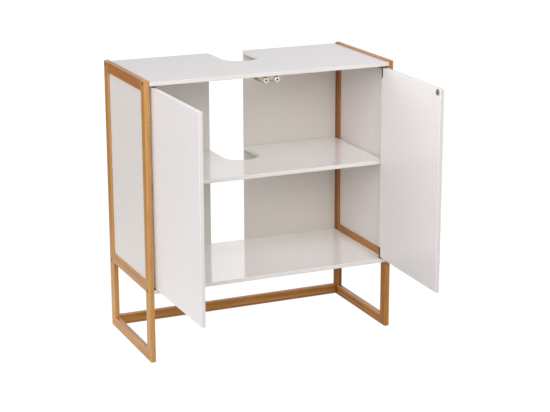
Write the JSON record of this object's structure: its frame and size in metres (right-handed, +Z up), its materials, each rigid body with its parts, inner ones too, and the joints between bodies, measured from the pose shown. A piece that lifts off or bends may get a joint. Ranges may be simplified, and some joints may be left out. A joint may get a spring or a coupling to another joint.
{
  "type": "sink base cabinet",
  "caption": "Free-standing sink base cabinet: bamboo side frames, white boards, pivot-hung doors, shelf and top cut out for the waste pipe, push latch.",
  "frame": {"origin": "on the floor, under the middle of the rear stretcher", "axes": "+Z up, +X across the width to the right as seen from the front, +Y to the back; the doors are at the -Y front"},
  "size_m": [0.6, 0.556, 0.641],
  "materials": {
    "bamboo": "satin lacquered laminated bamboo",
    "white_board": "white gloss lacquered fibreboard",
    "white_panel": "white satin lacquered thin fibreboard",
    "hinge_metal": "dark bronze plated steel",
    "bolt_metal": "dark brown plated steel",
    "bright_metal": "zinc plated steel",
    "strike_metal": "plain steel",
    "latch_plastic": "matt cream moulded plastic",
    "plunger_plastic": "smooth off-white moulded plastic",
    "magnet_metal": "dark magnet",
    "bumper_plastic": "soft pale bumper"
  },
  "bodies": {
    "carcass": {"left_front_post": "bamboo", "left_rear_post": "bamboo", "left_top_rail": "bamboo", "left_mid_rail": "bamboo", "left_bottom_rail": "bamboo", "left_side_panel": "white_panel", "left_back_panel": "white_panel", "left_front_top_bolt": "bolt_metal", "left_rear_top_bolt": "bolt_metal", "left_front_bottom_bolt": "bolt_metal", "left_rear_bottom_bolt": "bolt_metal", "left_front_shelf_pin": "bright_metal", "left_rear_shelf_pin": "bright_metal", "left_top_pivot_pin": "bright_metal", "left_bottom_pivot_pin": "bright_metal", "left_latch_screw": "bright_metal", "left_top_pivot_bracket": "hinge_metal", "left_bottom_pivot_bracket": "hinge_metal", "right_front_post": "bamboo", "right_rear_post": "bamboo", "right_top_rail": "bamboo", "right_mid_rail": "bamboo", "right_bottom_rail": "bamboo", "right_side_panel": "white_panel", "right_back_panel": "white_panel", "right_front_top_bolt": "bolt_metal", "right_rear_top_bolt": "bolt_metal", "right_front_bottom_bolt": "bolt_metal", "right_rear_bottom_bolt": "bolt_metal", "right_front_shelf_pin": "bright_metal", "right_rear_shelf_pin": "bright_metal", "right_top_pivot_pin": "bright_metal", "right_bottom_pivot_pin": "bright_metal", "right_latch_screw": "bright_metal", "right_top_pivot_bracket": "hinge_metal", "right_bottom_pivot_bracket": "hinge_metal", "rear_stretcher": "bamboo", "top_panel": "white_board", "shelf": "white_board", "bottom_panel": "white_board", "latch_housing": "latch_plastic"},
    "left_door": {"left_door": "white_board", "left_top_door_plate": "hinge_metal", "left_bottom_door_plate": "hinge_metal", "left_strike_disc": "strike_metal", "left_strike_screw": "bright_metal", "left_bumper": "bumper_plastic"},
    "right_door": {"right_door": "white_board", "right_top_door_plate": "hinge_metal", "right_bottom_door_plate": "hinge_metal", "right_strike_disc": "strike_metal", "right_strike_screw": "bright_metal", "right_bumper": "bumper_plastic"},
    "left_plunger": {"left_plunger": "plunger_plastic", "left_plunger_magnet": "magnet_metal"},
    "right_plunger": {"right_plunger": "plunger_plastic", "right_plunger_magnet": "magnet_metal"}
  },
  "joints": [
    {"name": "left_door_hinge", "type": "hinge", "parent": "carcass", "child": "left_door", "pos_m": [-0.28, -0.27, 0.4], "axis": [0, 0, -1], "range_deg": [-88.4, 30.6]},
    {"name": "right_door_hinge", "type": "hinge", "parent": "carcass", "child": "right_door", "pos_m": [0.28, -0.27, 0.4], "axis": [0, 0, 1], "range_deg": [-87.5, 31.5]},
    {"name": "left_plunger_slide", "type": "slide", "parent": "carcass", "child": "left_plunger", "axis": [0, 1, 0], "range_m": [0, 0.006], "stiffness_N_per_m": 400, "springref_m": -0.01},
    {"name": "right_plunger_slide", "type": "slide", "parent": "carcass", "child": "right_plunger", "axis": [0, 1, 0], "range_m": [0, 0.006], "stiffness_N_per_m": 400, "springref_m": -0.01}
  ]
}
